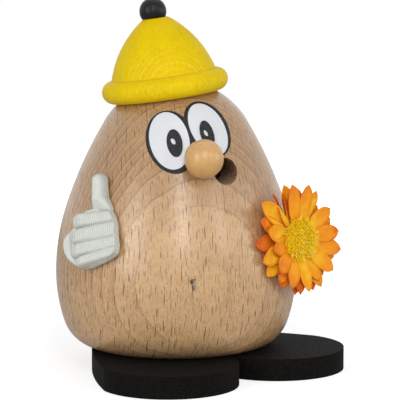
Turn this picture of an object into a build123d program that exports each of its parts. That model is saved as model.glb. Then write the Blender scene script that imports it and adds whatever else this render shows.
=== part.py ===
from build123d import *
from math import atan, atan2, copysign, cos, degrees, radians, sin, sqrt, tan
import os

# Incense smoker in millimetres: a hollow turned egg with a tilted hat lifts off a round plug on two
# flat soles. +Z is up, the origin is on the ground under the egg's axis, and the nose points along -Y.
os.makedirs("parts", exist_ok=True)

# Fits and cuts
overrun = 3.0
glue_gap = 0.05
lift_clearance = 0.3

# Soles, sawn from board. The feet point feet_turn degrees round from the face.
feet_turn = 24.0
sole_thickness = 8.0
toe_radius = 25.0
toe_spread = 24.3
toe_reach = 26.7
toe_corner_angle = 12.6
heel_radius = 13.0
heel_spread = 11.5
heel_setback = 15.5
heel_side_angle = 35.0
outer_side_bow = 1.9
left_toe_growth = 0.95
toe_growth_spread = 0.75
toe_growth_reach = 0.6

# Countersunk screws through the soles into the plug
screw_radius = 1.5
screw_head_radius = 3.0
screw_head_sink = 0.4
screw_length = 16.0
screw_spread = 9.5
screw_pitch = 18.0
screw_clearance = 0.1
screw_slot_width = 0.8
screw_slot_depth = 0.7

# Turned plug that the egg slips over, with a seat for the dish
plug_height = 12.0
plug_chamfer = 1.2
dish_seat_depth = 1.0
dish_seat_clearance = 0.25

# Pressed metal dish and its tacks
dish_radius = 15.0
dish_wall = 0.5
dish_height = 4.0
dish_flare = 1.4
dish_corner = 1.2
tack_radius = 0.6
tack_length = 6.0
tack_head_radius = 1.5
tack_head_height = 0.8
tack_clearance = 0.05

# Incense cone
cone_radius = 6.3
cone_height = 27.0
cone_tip_radius = 0.9
cone_foot = 1.0

# Egg. The shares are of body_radius and body_height, from the ground end upwards.
body_radius = 44.9
body_height = 98.9
seat_ring_share = 0.686
hip_shares = (0.932, 0.093)
belly_shares = (1.0, 0.279)
flank_shares = (0.914, 0.526)
crown_round = 30.9
chamber_radius = 21.0
chamber_crown_wall = 22.9
chamber_edge_chamfer = 0.8

# Smoke and draught bores
mouth_radius = 4.7
mouth_offset = 9.6
mouth_under_nose = 2.3
mouth_edge_round = 0.4
draught_radius = 3.4
draught_above_plug = 8.0

# Nose ball and dowel
nose_radius = 6.9
nose_under_eyes = 8.3
nose_flat_depth = 0.35
nose_dowel_radius = 2.0
nose_dowel_in_egg = 8.0
nose_dowel_in_ball = 5.0
dowel_chamfer = 0.4

# Eyes, printed in three thin layers. Each oval: across, up, half width, half height, lean in degrees.
eye_bearing = -3.0
eyes_under_hat = 14.744
eye_roll = 12.0
eye_reach = 12.0
print_thickness = 0.22
print_gap = 0.02
print_nose_clearance = 1.2
print_size = 11.0
outline_left_shares = (-0.645, 0.189, 0.771, 1.146)
outline_left_lean = -4.0
outline_right_shares = (0.667, 0.369, 0.770, 1.055)
outline_right_lean = 2.2
white_left_shares = (-0.688, 0.233, 0.621, 1.041)
white_left_lean = -6.0
white_right_shares = (0.671, 0.344, 0.617, 0.975)
white_right_lean = 4.8
pupil_left_shares = (-0.579, 0.075, 0.246, 0.492)
pupil_left_lean = -8.6
pupil_right_shares = (0.557, 0.138, 0.236, 0.488)
pupil_right_lean = -4.0
glint_left_shares = (-0.612, 0.145, 0.066, 0.118)
glint_right_shares = (0.522, 0.174, 0.062, 0.114)
glint_lean = 8.0

# Thumbs-up hand with a flat back. Palm points are shares of hand_width and hand_height, and so are the
# fingers: left end, right end, level and thickness, then the lean in degrees.
hand_bearing = -56.0
hand_height_on_egg = 57.0
hand_roll = 12.0
hand_width = 27.3
hand_height = 33.2
palm_depth = 2.5
palm_round = 1.1
palm_shares = (
    (0.110, 0.155), (0.305, 0.130), (0.393, -0.020), (0.411, -0.174), (0.420, -0.283),
    (0.388, -0.361), (0.240, -0.438), (0.037, -0.478), (-0.100, -0.483), (-0.264, -0.457),
    (-0.410, -0.385), (-0.504, -0.291), (-0.534, -0.182), (-0.490, -0.098), (-0.350, -0.028),
    (-0.280, 0.048), (-0.190, 0.118), (-0.060, 0.150),
)
finger_depth = 4.8
finger_slope = 4.5
finger_round_share = 0.92
finger_shares = (
    (-0.200, 0.385, -0.400, 0.130, 6.0),
    (-0.350, 0.412, -0.262, 0.156, 2.5),
    (-0.352, 0.405, -0.102, 0.168, 0.0),
    (-0.295, 0.385, 0.052, 0.152, 0.0),
)
thumb_depth = 4.5
thumb_width = 5.4
thumb_across_share = 0.091
thumb_top_share = 0.518
thumb_root_width = 9.4
thumb_root_depth = 3.6
thumb_root_share = 0.256
hand_pin_radius = 1.5
hand_pin_in_egg = 7.0
hand_pin_in_hand = 2.6

# Fabric flower
flower_bearing = 52.3
flower_height = 49.6
flower_facing = 28.0
flower_tilt = 5.0
stem_reach = 4.7
stem_radius = 1.0
stem_in_egg = 11.0
stem_clearance = 0.15
petal_thickness = 0.4
petal_gap = 0.15
petal_hub_radius = 5.2
outer_petals = 14
outer_petal_reach = 21.5
outer_petal_width = 6.4
outer_petal_lift = 6.0
middle_petals = 13
middle_petal_reach = 20.4
middle_petal_width = 6.2
middle_petal_lift = 10.0
inner_petals = 11
inner_petal_reach = 18.0
inner_petal_width = 6.2
inner_petal_lift = 14.0
petal_neck_share = 0.4
petal_shoulder_share = 0.58
petal_tip_shares = (0.88, 0.6)
disc_radius = 8.3
disc_foot_radius = 4.7
disc_height = 3.8
disc_bulge_shares = (0.86, 0.7)
disc_dimple = 0.6
disc_dimple_share = 0.3
stem_in_disc = 2.4
calyx_radius = 4.4
calyx_height = 2.6
calyx_foot_radius = 1.8
calyx_bulge_share = 0.7

# Turned hat. Heights run up its own axis from the middle of the egg's crown ball.
hat_tilt = 8.2
brim_radius = 23.5
brim_flat_width = 1.354
brim_roll_width = 3.9
brim_height = 8.3
crown_foot_setback = 0.2
crown_groove = 0.5
crown_bulge_shares = (0.70, 0.58)
hat_crown_height = 20.8
hat_flat_radius = 4.7
hat_dowel_radius = 4.0
hat_dowel_in_egg = 11.0
hat_dowel_in_hat = 9.0

# Bead on the hat
bobble_radius = 5.0
bobble_rise = 2.6
bobble_offset = 0.6
bobble_pin_radius = 1.2
bobble_pin_in_hat = 6.0
bobble_pin_in_bead = 5.5

# Levels that follow from the sizes above
plug_radius = chamber_radius - lift_clearance
plug_top = sole_thickness + plug_height
dish_floor = plug_top - dish_seat_depth
cone_base = dish_floor + dish_wall
egg_top = sole_thickness + body_height
crown_centre = egg_top - crown_round
chamber_height = body_height - chamber_crown_wall
socket_radius = crown_round + glue_gap
roll_edge = brim_radius - brim_roll_width
socket_mouth = roll_edge - brim_flat_width
hat_seat_height = sqrt(socket_radius**2 - socket_mouth**2)
eye_height = crown_centre + hat_seat_height * cos(radians(hat_tilt)) - eyes_under_hat
nose_height = eye_height - nose_under_eyes
mouth_height = nose_height - mouth_under_nose
mouth_depth = body_radius + overrun
draught_height = plug_top + draught_above_plug
dish_floor_radius = dish_radius - dish_flare - dish_corner
tack_spread = (cone_radius + dish_floor_radius) / 2


def outline_point(shares):
    """A point of the egg's outline, from its shares of body_radius and body_height."""
    return Vector(body_radius * shares[0], sole_thickness + body_height * shares[1])


# The egg's outline is a chain of arcs that leaves its widest ring upright. Upwards it runs into the
# crown ball, touching it square, and downwards it ends on the seat ring.
with BuildLine() as egg_line:
    belly_point, flank_point = outline_point(belly_shares), outline_point(flank_shares)
    belly_arc = TangentArc(belly_point, flank_point, tangent=(0, 1))
    rise = belly_arc % 1
    inwards = Vector(-rise.Y, rise.X)
    ball_centre = Vector(0, crown_centre)
    apart = flank_point - ball_centre
    flank_round = (crown_round**2 - apart.dot(apart)) / (2 * (inwards.dot(apart) + crown_round))
    towards_edge = (ball_centre - flank_point - inwards * flank_round).normalized() * copysign(1, flank_round)
    flank_arc = TangentArc(flank_point, ball_centre + towards_edge * crown_round, tangent=rise)
    edge_angle = degrees(atan2(towards_edge.Y, towards_edge.X))
    crown_arc = CenterArc((0, crown_centre), crown_round, edge_angle, 90 - edge_angle)
    hip_arc = TangentArc(belly_point, outline_point(hip_shares), tangent=(0, -1))
    seat_point = (body_radius * seat_ring_share, sole_thickness)
    under_arc = TangentArc(hip_arc @ 1, seat_point, tangent=hip_arc % 1)
# Each arc with its upper and its lower end
egg_arcs = ((crown_arc, 1, 0), (flank_arc, 1, 0), (belly_arc, 1, 0), (hip_arc, 0, 1), (under_arc, 0, 1))


def egg_grown(growth):
    """The solid egg, with its skin moved out square to itself by growth."""
    with BuildPart() as grown:
        with BuildSketch(Plane.XZ):
            with BuildLine():
                for arc, upper, lower in egg_arcs:
                    ends = []
                    for place in (upper, 0.5, lower):
                        along = (arc % place) * (lower - upper)
                        ends.append(arc @ place + Vector(-along.Y, along.X) * growth)
                    last = ThreePointArc(*ends)
                Polyline(last @ 1, (0, (last @ 1).Y), (0, egg_top + growth))
            make_face()
        revolve(axis=Axis.Z)
    return grown.part


egg_blank = egg_grown(0)


def turned(plane, tip=0, tilt=0, roll=0):
    """The plane turned about its own x, y and z axes, in degrees."""
    return Plane(plane.location * Rotation(tip, tilt, roll))


def seat_on_egg(bearing, height, roll=0):
    """Plane on the egg's skin: x to a viewer's right, z square outwards, turned by roll degrees."""
    outwards = Vector(sin(radians(bearing)), -cos(radians(bearing)), 0)
    hits = egg_blank.find_intersection_points(Axis((0, 0, height), outwards))
    point, normal = max(hits, key=lambda hit: hit[0].dot(outwards))
    across = (cos(radians(bearing)), sin(radians(bearing)), 0)
    return turned(Plane(origin=point, x_dir=across, z_dir=normal), roll=roll)


feet_plane = turned(Plane.XY, roll=feet_turn)
seam_plane = Plane(origin=feet_plane.origin, x_dir=feet_plane.y_dir, z_dir=feet_plane.x_dir)

def sole_shape(growth):
    """A left sole: toe arc, straight inner side, bowed outer side with a corner at the toe, round heel."""
    radius = toe_radius + growth
    spread = toe_spread + growth * toe_growth_spread
    reach = toe_reach + growth * toe_growth_reach
    front_angle = 180 + degrees(atan(sqrt(radius**2 - spread**2) / spread))
    back_angle = 180 - degrees(atan(sqrt(heel_radius**2 - heel_spread**2) / heel_spread))
    with BuildSketch(feet_plane) as shape:
        with BuildLine():
            toe = CenterArc((spread, -reach), radius, front_angle, 360 + toe_corner_angle - front_angle)
            heel = CenterArc(
                (heel_spread, heel_setback), heel_radius, heel_side_angle, back_angle - heel_side_angle
            )
            SagittaArc(toe @ 1, heel @ 0, -outer_side_bow)
            Line(heel @ 1, toe @ 0)
        make_face()
    return shape.sketch


screw_places = [
    (side * screw_spread, end * screw_pitch / 2) for side in (-1, 1) for end in (-1, 1)
]


def drill_screw_holes(reach):
    """Countersunk clearance holes from below, at every screw place that the sole holds."""
    underside = Plane(origin=(0, 0, 0), x_dir=feet_plane.x_dir, z_dir=(0, 0, -1))
    places = [(across, -along) for across, along in screw_places if across * reach > 0]
    with Locations(underside):
        with Locations(places):
            CounterSinkHole(
                screw_radius + screw_clearance, screw_head_radius + screw_clearance, sole_thickness
            )


with BuildPart() as foot_left:
    extrude(sole_shape(left_toe_growth), amount=sole_thickness)
    drill_screw_holes(1)
foot_left.part.label = "foot_left"

with BuildPart() as foot_right:
    extrude(mirror(sole_shape(0), about=seam_plane, mode=Mode.PRIVATE), amount=sole_thickness)
    drill_screw_holes(-1)
foot_right.part.label = "foot_right"

# One screw is turned as a profile and set at its four places
with BuildPart() as sole_screws:
    for across, along in screw_places:
        screw_at = feet_plane.from_local_coords(Vector(across, along))
        section = Plane(origin=screw_at, x_dir=feet_plane.x_dir, z_dir=-feet_plane.y_dir)
        head_depth = screw_head_radius - screw_radius
        with BuildSketch(section):
            with BuildLine():
                Polyline(
                    (0, screw_head_sink), (screw_head_radius - screw_head_sink, screw_head_sink),
                    (screw_radius, head_depth), (screw_radius, screw_length - screw_radius),
                    (0, screw_length), (0, screw_head_sink),
                )
            make_face()
        revolve(axis=Axis(screw_at, (0, 0, 1)))
        with BuildSketch(Plane(origin=screw_at, x_dir=feet_plane.x_dir, z_dir=(0, 0, 1))):
            for turn in (0, 90):
                Rectangle(screw_head_radius, screw_slot_width, rotation=turn)
        extrude(amount=screw_head_sink + screw_slot_depth, mode=Mode.SUBTRACT)
sole_screws.part.label = "sole_screws"

# Plug: turned disc with a chamfered lip, a round seat for the dish and pilot holes below
with BuildPart() as base_plug:
    with BuildSketch(Plane.XY.offset(sole_thickness)):
        Circle(plug_radius)
    extrude(amount=plug_height)
    chamfer(base_plug.faces().sort_by(Axis.Z)[-1].edges(), plug_chamfer)
    with BuildSketch(Plane.XY.offset(plug_top)):
        Circle(dish_radius + dish_seat_clearance)
    extrude(amount=-dish_seat_depth, mode=Mode.SUBTRACT)
    with BuildSketch(Plane.XY.offset(sole_thickness)):
        for across, along in screw_places:
            pilot = feet_plane.from_local_coords(Vector(across, along))
            with Locations((pilot.X, pilot.Y)):
                Circle(screw_radius + glue_gap)
    extrude(amount=screw_length - sole_thickness + screw_head_sink, mode=Mode.SUBTRACT)
    with BuildSketch(Plane.XY.offset(dish_floor)):
        with Locations((-tack_spread, 0), (tack_spread, 0)):
            Circle(tack_radius + tack_clearance)
    extrude(amount=-tack_length, mode=Mode.SUBTRACT)
base_plug.part.label = "base_plug"

# Dish: floor, rounded corner and a flared rim in one pressed wall
with BuildPart() as incense_tray:
    with BuildSketch(Plane.XZ):
        with BuildLine():
            outside = Line((0, dish_floor), (dish_floor_radius, dish_floor))
            corner = TangentArc(
                outside @ 1,
                (dish_floor_radius + dish_corner, dish_floor + dish_corner),
                tangent=outside % 1,
            )
            rim = Line(corner @ 1, (dish_radius, dish_floor + dish_height))
            Line(rim @ 1, (dish_radius - dish_wall, dish_floor + dish_height))
            Line(
                (dish_radius - dish_wall, dish_floor + dish_height),
                (dish_floor_radius + dish_corner - dish_wall, dish_floor + dish_corner),
            )
            TangentArc(
                (dish_floor_radius + dish_corner - dish_wall, dish_floor + dish_corner),
                (dish_floor_radius, cone_base),
                tangent=(0, -1),
            )
            Polyline((dish_floor_radius, cone_base), (0, cone_base), (0, dish_floor))
        make_face()
    revolve(axis=Axis.Z)
    with BuildSketch(Plane.XY.offset(cone_base)):
        with Locations((-tack_spread, 0), (tack_spread, 0)):
            Circle(tack_radius + tack_clearance)
    extrude(amount=-dish_wall, mode=Mode.SUBTRACT)
incense_tray.part.label = "incense_tray"

# Round-headed tacks, one each side of the cone
with BuildPart() as tray_tacks:
    for place in (-tack_spread, tack_spread):
        with BuildSketch(Plane(origin=(place, 0, 0), x_dir=(1, 0, 0), z_dir=(0, -1, 0))):
            with BuildLine():
                dome = ThreePointArc(
                    (0, cone_base + tack_head_height),
                    (tack_head_radius * cos(radians(45)), cone_base + tack_head_height * sin(radians(45))),
                    (tack_head_radius, cone_base),
                )
                shank_end = cone_base - tack_length
                Polyline(
                    dome @ 1, (tack_radius, cone_base), (tack_radius, shank_end + tack_radius),
                    (0, shank_end), dome @ 0,
                )
            make_face()
        revolve(axis=Axis((place, 0, 0), (0, 0, 1)))
tray_tacks.part.label = "tray_tacks"

# Cone with a short upright foot and a rounded tip
with BuildPart() as incense_cone:
    with BuildSketch(Plane.XZ):
        with BuildLine():
            side_lean = atan((cone_radius - cone_tip_radius) / (cone_height - cone_foot))
            tip_side = (
                cone_tip_radius * cos(side_lean),
                cone_base + cone_height - cone_tip_radius * (1 - sin(side_lean)),
            )
            up_the_side = (-sin(side_lean), cos(side_lean))
            tip = TangentArc(tip_side, (0, cone_base + cone_height), tangent=up_the_side)
            Polyline(
                tip @ 1, (0, cone_base), (cone_radius, cone_base), (cone_radius, cone_base + cone_foot),
                tip_side,
            )
        make_face()
    revolve(axis=Axis.Z)
incense_cone.part.label = "incense_cone"

# Seats on the egg for what is fixed to it
nose_seat = seat_on_egg(0, nose_height)
eye_plane = seat_on_egg(eye_bearing, eye_height, eye_roll)
hand_plane = seat_on_egg(hand_bearing, hand_height_on_egg, hand_roll)
stem_seat = seat_on_egg(flower_bearing, flower_height)
facing = Vector(
    sin(radians(flower_facing)) * cos(radians(flower_tilt)),
    -cos(radians(flower_facing)) * cos(radians(flower_tilt)),
    sin(radians(flower_tilt)),
)
flower_across = (cos(radians(flower_facing)), sin(radians(flower_facing)), 0)
stem_plane = Plane(origin=stem_seat.origin, x_dir=flower_across, z_dir=facing)
flower_plane = stem_plane.offset(stem_reach)
hat_frame = Plane(
    origin=(0, 0, crown_centre),
    x_dir=(cos(radians(hat_tilt)), 0, sin(radians(hat_tilt))),
    z_dir=(-sin(radians(hat_tilt)), 0, cos(radians(hat_tilt))),
)
hat_axis = Axis(hat_frame.origin, hat_frame.z_dir)
bobble_foot = hat_frame.from_local_coords(Vector(-bobble_offset, 0))
bobble_frame = Plane(origin=bobble_foot, x_dir=hat_frame.x_dir, z_dir=hat_frame.z_dir)
hat_section_plane = Plane(origin=hat_frame.origin, x_dir=hat_frame.x_dir, z_dir=-hat_frame.y_dir)
mouth_plane = Plane(origin=(mouth_offset, -mouth_depth, mouth_height), x_dir=(1, 0, 0), z_dir=(0, -1, 0))
draught_plane = Plane(origin=(0, mouth_depth, draught_height), x_dir=(-1, 0, 0), z_dir=(0, 1, 0))

# Hollow egg: domed chamber open below, mouth bore in front, draught bore behind, blind dowel holes
with BuildPart() as egg_body:
    add(egg_blank)
    with BuildSketch(Plane.XZ):
        with BuildLine():
            dome_start = sole_thickness + chamber_height - chamber_radius
            dome = CenterArc((0, dome_start), chamber_radius, 0, 90)
            Polyline(
                dome @ 1, (0, sole_thickness - overrun), (chamber_radius, sole_thickness - overrun), dome @ 0
            )
        make_face()
    revolve(axis=Axis.Z, mode=Mode.SUBTRACT)
    seat_ring = egg_body.faces().filter_by(GeomType.PLANE).sort_by(Axis.Z)[0]
    chamfer(seat_ring.inner_wires()[0].edges(), chamber_edge_chamfer)
    with Locations(mouth_plane):
        Hole(mouth_radius, mouth_depth)
    with Locations(draught_plane):
        Hole(draught_radius, mouth_depth)
    with Locations(nose_seat.offset(overrun)):
        Hole(nose_dowel_radius + glue_gap, nose_dowel_in_egg + overrun)
    with Locations(hand_plane.offset(overrun)):
        Hole(hand_pin_radius + glue_gap, hand_pin_in_egg + overrun)
    with Locations(stem_plane.offset(overrun)):
        Hole(stem_radius + stem_clearance, stem_in_egg + overrun)
    with Locations(hat_frame.offset(crown_round + overrun)):
        Hole(hat_dowel_radius + glue_gap, hat_dowel_in_egg + overrun)
egg_body.part.label = "egg_body"

# Nose ball, sanded flat where it meets the egg and bored for its dowel
nose_centre = nose_seat.offset(nose_radius - nose_flat_depth + glue_gap)
with BuildPart() as nose:
    with Locations(nose_centre):
        Sphere(nose_radius)
    split(bisect_by=nose_seat.offset(glue_gap), keep=Keep.TOP)
    with BuildSketch(nose_seat.offset(glue_gap)):
        Circle(nose_dowel_radius + glue_gap)
    extrude(amount=nose_dowel_in_ball, mode=Mode.SUBTRACT)
nose.part.label = "nose"

with BuildPart() as nose_dowel:
    with BuildSketch(nose_seat.offset(glue_gap - nose_dowel_in_egg)):
        Circle(nose_dowel_radius)
    extrude(amount=nose_dowel_in_egg + nose_dowel_in_ball - glue_gap)
    chamfer(nose_dowel.edges().filter_by(GeomType.CIRCLE), dowel_chamfer)
nose_dowel.part.label = "nose_dowel"


def printed_layer(level, ovals, holes=()):
    """A thin layer on the egg's skin, cut to the ovals as seen square to the face."""
    inner = level * print_thickness + print_gap
    with BuildPart() as layer:
        with BuildSketch(eye_plane.offset(-eye_reach)):
            for shares, lean in ovals:
                across, up, half_width, half_height = (share * print_size for share in shares)
                with Locations((across, up)):
                    Ellipse(half_width, half_height, rotation=lean)
            for shares, lean in holes:
                across, up, half_width, half_height = (share * print_size for share in shares)
                with Locations((across, up)):
                    Ellipse(half_width, half_height, rotation=lean, mode=Mode.SUBTRACT)
        extrude(amount=2 * eye_reach)
        add(egg_grown(inner - print_gap + print_thickness), mode=Mode.INTERSECT)
        add(egg_grown(inner), mode=Mode.SUBTRACT)
        with Locations(nose_seat):
            Cylinder(nose_dowel_radius + print_nose_clearance, 2 * overrun, mode=Mode.SUBTRACT)
    return layer


eye_print = printed_layer(
    0, ((outline_left_shares, outline_left_lean), (outline_right_shares, outline_right_lean))
)
eye_print.part.label = "eye_print"
eye_white_left = printed_layer(1, ((white_right_shares, white_right_lean),))
eye_white_left.part.label = "eye_white_left"
eye_white_right = printed_layer(1, ((white_left_shares, white_left_lean),))
eye_white_right.part.label = "eye_white_right"
pupil_left = printed_layer(2, ((pupil_right_shares, pupil_right_lean),), ((glint_right_shares, glint_lean),))
pupil_left.part.label = "pupil_left"
pupil_right = printed_layer(2, ((pupil_left_shares, pupil_left_lean),), ((glint_left_shares, glint_lean),))
pupil_right.part.label = "pupil_right"


def rounded_roll(plane, across, level, length, thickness, lean, depth):
    """A finger-like roll: a slot raised from the plane, with its top edge rounded over."""
    with BuildPart() as roll:
        with BuildSketch(plane):
            with Locations((across, level)):
                SlotOverall(length, thickness, rotation=lean)
        extrude(amount=depth)
        top_edges = roll.faces().sort_by(Axis(plane.origin, plane.z_dir))[-1].edges()
        fillet(top_edges, min(thickness / 2, depth) * finger_round_share)
    return roll.part


# Hand: palm slab, four finger rolls that slope down to the knuckles, thumb and thumb root
hand_back = hand_plane.offset(glue_gap)
with BuildPart() as hand:
    with BuildSketch(hand_back):
        with BuildLine():
            Spline(*[(hand_width * u, hand_height * v) for u, v in palm_shares], periodic=True)
        make_face()
    extrude(amount=palm_depth)
    fillet(hand.faces().sort_by(Axis(hand_plane.origin, hand_plane.z_dir))[-1].edges(), palm_round)
    sloped_plane = turned(hand_back, tilt=finger_slope)
    for left_share, right_share, level_share, thickness_share, lean in finger_shares:
        middle = (left_share + right_share) / 2 * hand_width
        length = (right_share - left_share) * hand_width
        level = level_share * hand_height
        thickness = thickness_share * hand_height
        add(rounded_roll(sloped_plane, middle, level, length, thickness, lean, finger_depth))
    thumb_top = thumb_top_share * hand_height
    thumb_across = thumb_across_share * hand_width
    add(rounded_roll(hand_back, thumb_across, thumb_top / 2, thumb_top, thumb_width, 90, thumb_depth))
    root_top = thumb_root_share * hand_height
    add(rounded_roll(hand_back, thumb_across, 0, 2 * root_top, thumb_root_width, 90, thumb_root_depth))
    split(bisect_by=hand_back, keep=Keep.TOP)
    with BuildSketch(hand_plane):
        Circle(hand_pin_radius + glue_gap)
    extrude(amount=hand_pin_in_hand, mode=Mode.SUBTRACT)
hand.part.label = "hand"

with BuildPart() as hand_pin:
    with BuildSketch(hand_plane.offset(glue_gap - hand_pin_in_egg)):
        Circle(hand_pin_radius)
    extrude(amount=hand_pin_in_egg + hand_pin_in_hand - 2 * glue_gap)
    chamfer(hand_pin.edges().filter_by(GeomType.CIRCLE), dowel_chamfer)
hand_pin.part.label = "hand_pin"


def petal_ring(level, count, reach, width, lift, turn):
    """A ring of pointed petals round a bored hub, each lifted at the hub's edge by lift degrees."""
    ring_plane = flower_plane.offset(level)
    length = reach - petal_hub_radius
    neck = width / 2 * petal_neck_share
    with BuildPart() as ring:
        with BuildSketch(ring_plane):
            Circle(petal_hub_radius)
        extrude(amount=petal_thickness)
        for index in range(count):
            spoke = turned(ring_plane, roll=turn + index * 360 / count)
            root = spoke.from_local_coords(Vector(petal_hub_radius - petal_thickness, 0))
            petal_plane = turned(Plane(origin=root, x_dir=spoke.x_dir, z_dir=spoke.z_dir), tilt=-lift)
            with BuildSketch(petal_plane):
                with BuildLine():
                    shoulder = length * petal_shoulder_share
                    near_tip = length * petal_tip_shares[0]
                    tip_half = width / 2 * petal_tip_shares[1]
                    upper = Spline((0, neck), (shoulder, width / 2), (near_tip, tip_half), (length, 0))
                    Spline((0, -neck), (shoulder, -width / 2), (near_tip, -tip_half), (length, 0))
                    Line((0, -neck), upper @ 0)
                make_face()
            extrude(amount=petal_thickness)
        with Locations(flower_plane):
            Cylinder(stem_radius + glue_gap, 2 * petal_hub_radius, mode=Mode.SUBTRACT)
    return ring


ring_step = petal_thickness + petal_gap
petals_outer = petal_ring(0, outer_petals, outer_petal_reach, outer_petal_width, outer_petal_lift, 0)
petals_outer.part.label = "petals_outer"
petals_middle = petal_ring(
    ring_step, middle_petals, middle_petal_reach, middle_petal_width, middle_petal_lift,
    180 / middle_petals,
)
petals_middle.part.label = "petals_middle"
petals_inner = petal_ring(
    2 * ring_step, inner_petals, inner_petal_reach, inner_petal_width, inner_petal_lift, 0
)
petals_inner.part.label = "petals_inner"

# Flower middle: a domed cushion with a shallow dimple, hollow-backed to follow the inner petals
flower_section_plane = Plane(
    origin=flower_plane.origin, x_dir=flower_plane.x_dir, z_dir=-flower_plane.y_dir
)
flower_axis = Axis(flower_plane.origin, flower_plane.z_dir)
disc_back = 3 * ring_step
disc_edge = disc_back + (disc_radius - disc_foot_radius) * tan(radians(inner_petal_lift))
with BuildPart() as flower_center:
    with BuildSketch(flower_section_plane):
        with BuildLine():
            dome = ThreePointArc(
                (disc_radius, disc_edge),
                (disc_radius * disc_bulge_shares[0], disc_edge + disc_height * disc_bulge_shares[1]),
                (disc_radius * disc_dimple_share, disc_edge + disc_height),
            )
            Polyline(
                dome @ 1, (0, disc_edge + disc_height - disc_dimple), (0, disc_back),
                (disc_foot_radius, disc_back), dome @ 0,
            )
        make_face()
    revolve(axis=flower_axis)
    with BuildSketch(flower_plane.offset(disc_back)):
        Circle(stem_radius + glue_gap)
    extrude(amount=stem_in_disc, mode=Mode.SUBTRACT)
flower_center.part.label = "flower_center"

# Calyx: a small cup behind the petals
with BuildPart() as flower_calyx:
    with BuildSketch(flower_section_plane):
        with BuildLine():
            cup = ThreePointArc(
                (calyx_radius, -glue_gap),
                ((calyx_radius + calyx_foot_radius) / 2, -calyx_height * calyx_bulge_share),
                (calyx_foot_radius, -calyx_height),
            )
            Polyline(
                cup @ 1, (stem_radius + glue_gap, -calyx_height), (stem_radius + glue_gap, -glue_gap), cup @ 0
            )
        make_face()
    revolve(axis=flower_axis)
flower_calyx.part.label = "flower_calyx"

with BuildPart() as flower_stem:
    with BuildSketch(stem_plane.offset(-stem_in_egg)):
        Circle(stem_radius)
    extrude(amount=stem_in_egg + stem_reach + disc_back + stem_in_disc - glue_gap)
    chamfer(flower_stem.edges().filter_by(GeomType.CIRCLE), dowel_chamfer)
flower_stem.part.label = "flower_stem"

# Hat: fat rolled brim and a pointed crown in one turning, hollowed by the ball-shaped socket
crown_foot_radius = roll_edge - crown_foot_setback
brim_top = hat_seat_height + brim_height
hat_top = brim_top + hat_crown_height
with BuildPart() as hat:
    with BuildSketch(hat_section_plane):
        with BuildLine():
            under = Line((socket_mouth, hat_seat_height), (roll_edge, hat_seat_height))
            roll = ThreePointArc(
                under @ 1, (brim_radius, hat_seat_height + brim_height / 2), (roll_edge, brim_top)
            )
            Polyline(
                roll @ 1, (crown_foot_radius - crown_groove, brim_top - crown_groove),
                (crown_foot_radius, brim_top),
            )
            crown = ThreePointArc(
                (crown_foot_radius, brim_top),
                (
                    crown_foot_radius * crown_bulge_shares[0],
                    brim_top + hat_crown_height * crown_bulge_shares[1],
                ),
                (hat_flat_radius, hat_top),
            )
            Polyline(crown @ 1, (0, hat_top), (0, socket_radius))
            CenterArc(
                (0, 0), socket_radius, 90, degrees(atan(hat_seat_height / socket_mouth)) - 90
            )
        make_face()
    revolve(axis=hat_axis)
    with BuildSketch(hat_frame):
        Circle(hat_dowel_radius + glue_gap)
    extrude(amount=crown_round + hat_dowel_in_hat, mode=Mode.SUBTRACT)
    with BuildSketch(bobble_frame.offset(hat_top)):
        Circle(bobble_pin_radius + glue_gap)
    extrude(amount=-bobble_pin_in_hat, mode=Mode.SUBTRACT)
hat.part.label = "hat"

with BuildPart() as hat_dowel:
    with BuildSketch(hat_frame.offset(crown_round - hat_dowel_in_egg)):
        Circle(hat_dowel_radius)
    extrude(amount=hat_dowel_in_egg + hat_dowel_in_hat - glue_gap)
    chamfer(hat_dowel.edges().filter_by(GeomType.CIRCLE), dowel_chamfer)
hat_dowel.part.label = "hat_dowel"

# Bead: a ball cut flat where it sits on the hat, bored for its pin
bobble_seat = bobble_frame.offset(hat_top + glue_gap)
with BuildPart() as bobble:
    with Locations(bobble_frame.offset(hat_top + bobble_rise)):
        Sphere(bobble_radius)
    split(bisect_by=bobble_seat, keep=Keep.TOP)
    with BuildSketch(bobble_seat):
        Circle(bobble_pin_radius + glue_gap)
    extrude(amount=bobble_pin_in_bead, mode=Mode.SUBTRACT)
bobble.part.label = "bobble"

with BuildPart() as bobble_pin:
    with BuildSketch(bobble_frame.offset(hat_top - bobble_pin_in_hat + glue_gap)):
        Circle(bobble_pin_radius)
    extrude(amount=bobble_pin_in_hat + bobble_pin_in_bead - glue_gap)
    chamfer(bobble_pin.edges().filter_by(GeomType.CIRCLE), dowel_chamfer)
bobble_pin.part.label = "bobble_pin"

pieces = (
    foot_left, foot_right, sole_screws, base_plug, incense_tray, tray_tacks, incense_cone, egg_body,
    nose, nose_dowel, eye_print, eye_white_left, eye_white_right, pupil_left, pupil_right, hand,
    hand_pin, petals_outer, petals_middle, petals_inner, flower_center, flower_calyx, flower_stem,
    hat, hat_dowel, bobble, bobble_pin,
)
for piece in pieces:
    export_step(piece.part, f"parts/{piece.part.label}.step")
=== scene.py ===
import bmesh
import bpy
import random
import numpy as np
from math import cos, pi, radians, sin, sqrt
from mathutils import Matrix, Vector


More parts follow.
